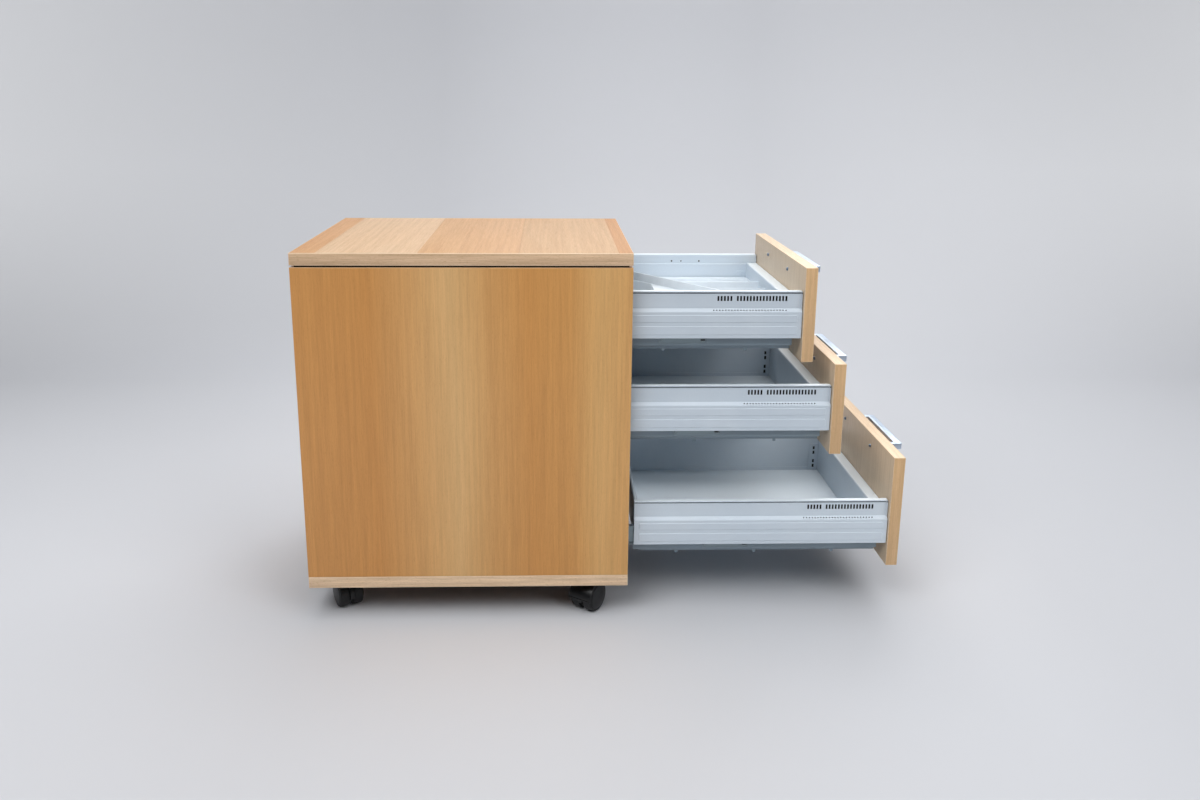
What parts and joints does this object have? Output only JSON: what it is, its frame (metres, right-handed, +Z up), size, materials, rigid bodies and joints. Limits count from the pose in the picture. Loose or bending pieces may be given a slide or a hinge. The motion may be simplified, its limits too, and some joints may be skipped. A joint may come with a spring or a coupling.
{
  "type": "mobile drawer pedestal",
  "caption": "Wheeled wooden pedestal with stacked steel drawers that pull out on telescopic runners, bow handles and swivelling casters.",
  "frame": {"origin": "on the floor, under the middle of the footprint with the drawers pulled out as drawn", "axes": "+Z up, -Y out of the drawer fronts, +X to the right of someone who faces the fronts"},
  "size_m": [0.43, 1.007, 0.609],
  "materials": {
    "side_veneer": "satin lacquered beech veneer",
    "pale_veneer": "satin lacquered pale beech veneer",
    "front_veneer": "satin lacquered beech veneer",
    "black_strip": "black stained board",
    "dowel_wood": "raw beech",
    "drawer_steel": "blue-grey epoxy powder coat",
    "runner_steel": "zinc plated",
    "zinc_steel": "zinc plated",
    "handle_metal": "satin silver",
    "tray_plastic": "fine grained light grey",
    "black_plastic": "black nylon"
  },
  "bodies": {
    "carcass": {"top_panel": "pale_veneer", "base_panel": "pale_veneer", "side_panel_left": "side_veneer", "side_panel_right": "side_veneer", "back_panel": "side_veneer", "top_rails": "pale_veneer", "spacer_frame": "black_strip", "dowels": "dowel_wood", "carcass_screws": "zinc_steel", "cabinet_rails_top": "runner_steel", "cabinet_rails_middle": "runner_steel", "cabinet_rails_bottom": "runner_steel", "caster_sockets": "black_plastic"},
    "top_drawer": {"top_front": "front_veneer", "top_handle": "handle_metal", "top_handle_screws": "zinc_steel", "top_side_left": "drawer_steel", "top_side_right": "drawer_steel", "top_floor": "drawer_steel", "top_front_wall": "drawer_steel", "top_rear_wall": "drawer_steel", "top_brackets": "drawer_steel", "top_runners": "runner_steel", "pen_tray": "tray_plastic", "tray_dividers": "tray_plastic"},
    "top_middle_profiles": {"top_slides": "runner_steel"},
    "middle_drawer": {"middle_front": "front_veneer", "middle_handle": "handle_metal", "middle_handle_screws": "zinc_steel", "middle_side_left": "drawer_steel", "middle_side_right": "drawer_steel", "middle_floor": "drawer_steel", "middle_front_wall": "drawer_steel", "middle_rear_wall": "drawer_steel", "middle_brackets": "drawer_steel", "middle_runners": "runner_steel"},
    "middle_middle_profiles": {"middle_slides": "runner_steel"},
    "bottom_drawer": {"bottom_front": "front_veneer", "bottom_handle": "handle_metal", "bottom_handle_screws": "zinc_steel", "bottom_side_left": "drawer_steel", "bottom_side_right": "drawer_steel", "bottom_floor": "drawer_steel", "bottom_front_wall": "drawer_steel", "bottom_rear_wall": "drawer_steel", "bottom_brackets": "drawer_steel", "bottom_runners": "runner_steel"},
    "bottom_middle_profiles": {"bottom_slides": "runner_steel"},
    "caster_fl": {"caster_fl_hood": "black_plastic"},
    "caster_fl_wheel_a": {"caster_fl_wheel_a": "black_plastic"},
    "caster_fl_wheel_b": {"caster_fl_wheel_b": "black_plastic"},
    "caster_fr": {"caster_fr_hood": "black_plastic"},
    "caster_fr_wheel_a": {"caster_fr_wheel_a": "black_plastic"},
    "caster_fr_wheel_b": {"caster_fr_wheel_b": "black_plastic"},
    "caster_rl": {"caster_rl_hood": "black_plastic"},
    "caster_rl_wheel_a": {"caster_rl_wheel_a": "black_plastic"},
    "caster_rl_wheel_b": {"caster_rl_wheel_b": "black_plastic"},
    "caster_rr": {"caster_rr_hood": "black_plastic"},
    "caster_rr_wheel_a": {"caster_rr_wheel_a": "black_plastic"},
    "caster_rr_wheel_b": {"caster_rr_wheel_b": "black_plastic"}
  },
  "joints": [
    {"name": "top_drawer_slide", "type": "slide", "parent": "carcass", "child": "top_drawer", "axis": [0, -1, 0], "range_m": [-0.288, 0.165]},
    {"name": "top_profiles_slide", "type": "slide", "parent": "carcass", "child": "top_middle_profiles", "axis": [0, -1, 0], "range_m": [-0.144, 0.0825]},
    {"name": "middle_drawer_slide", "type": "slide", "parent": "carcass", "child": "middle_drawer", "axis": [0, -1, 0], "range_m": [-0.343, 0.11]},
    {"name": "middle_profiles_slide", "type": "slide", "parent": "carcass", "child": "middle_middle_profiles", "axis": [0, -1, 0], "range_m": [-0.1715, 0.055]},
    {"name": "bottom_drawer_slide", "type": "slide", "parent": "carcass", "child": "bottom_drawer", "axis": [0, -1, 0], "range_m": [-0.451, 0.002]},
    {"name": "bottom_profiles_slide", "type": "slide", "parent": "carcass", "child": "bottom_middle_profiles", "axis": [0, -1, 0], "range_m": [-0.2255, 0.001]},
    {"name": "caster_fl_swivel", "type": "hinge", "parent": "carcass", "child": "caster_fl", "pos_m": [-0.169, 0.0395, 0.058], "axis": [0, 0, 1], "continuous": true},
    {"name": "caster_fl_wheel_a_spin", "type": "hinge", "parent": "caster_fl", "child": "caster_fl_wheel_a", "pos_m": [-0.17883, 0.04638, 0.025], "axis": [-0.5736, -0.8192, 0], "continuous": true},
    {"name": "caster_fl_wheel_b_spin", "type": "hinge", "parent": "caster_fl", "child": "caster_fl_wheel_b", "pos_m": [-0.17883, 0.04638, 0.025], "axis": [-0.5736, -0.8192, 0], "continuous": true},
    {"name": "caster_fr_swivel", "type": "hinge", "parent": "carcass", "child": "caster_fr", "pos_m": [0.169, 0.0395, 0.058], "axis": [0, 0, 1], "continuous": true},
    {"name": "caster_fr_wheel_a_spin", "type": "hinge", "parent": "caster_fr", "child": "caster_fr_wheel_a", "pos_m": [0.15772, 0.0354, 0.025], "axis": [0.342, -0.9397, 0], "continuous": true},
    {"name": "caster_fr_wheel_b_spin", "type": "hinge", "parent": "caster_fr", "child": "caster_fr_wheel_b", "pos_m": [0.15772, 0.0354, 0.025], "axis": [0.342, -0.9397, 0], "continuous": true},
    {"name": "caster_rl_swivel", "type": "hinge", "parent": "carcass", "child": "caster_rl", "pos_m": [-0.169, 0.4475, 0.058], "axis": [0, 0, 1], "continuous": true},
    {"name": "caster_rl_wheel_a_spin", "type": "hinge", "parent": "caster_rl", "child": "caster_rl_wheel_a", "pos_m": [-0.1584, 0.45313, 0.025], "axis": [-0.4695, 0.8829, 0], "continuous": true},
    {"name": "caster_rl_wheel_b_spin", "type": "hinge", "parent": "caster_rl", "child": "caster_rl_wheel_b", "pos_m": [-0.1584, 0.45313, 0.025], "axis": [-0.4695, 0.8829, 0], "continuous": true},
    {"name": "caster_rr_swivel", "type": "hinge", "parent": "carcass", "child": "caster_rr", "pos_m": [0.169, 0.4475, 0.058], "axis": [0, 0, 1], "continuous": true},
    {"name": "caster_rr_wheel_a_spin", "type": "hinge", "parent": "caster_rr", "child": "caster_rr_wheel_a", "pos_m": [0.17819, 0.43979, 0.025], "axis": [0.6428, 0.766, 0], "continuous": true},
    {"name": "caster_rr_wheel_b_spin", "type": "hinge", "parent": "caster_rr", "child": "caster_rr_wheel_b", "pos_m": [0.17819, 0.43979, 0.025], "axis": [0.6428, 0.766, 0], "continuous": true}
  ],
  "couplings": [
    {"joint": "top_profiles_slide", "follows": "top_drawer_slide", "ratio": 0.5},
    {"joint": "middle_profiles_slide", "follows": "middle_drawer_slide", "ratio": 0.5},
    {"joint": "bottom_profiles_slide", "follows": "bottom_drawer_slide", "ratio": 0.5}
  ]
}
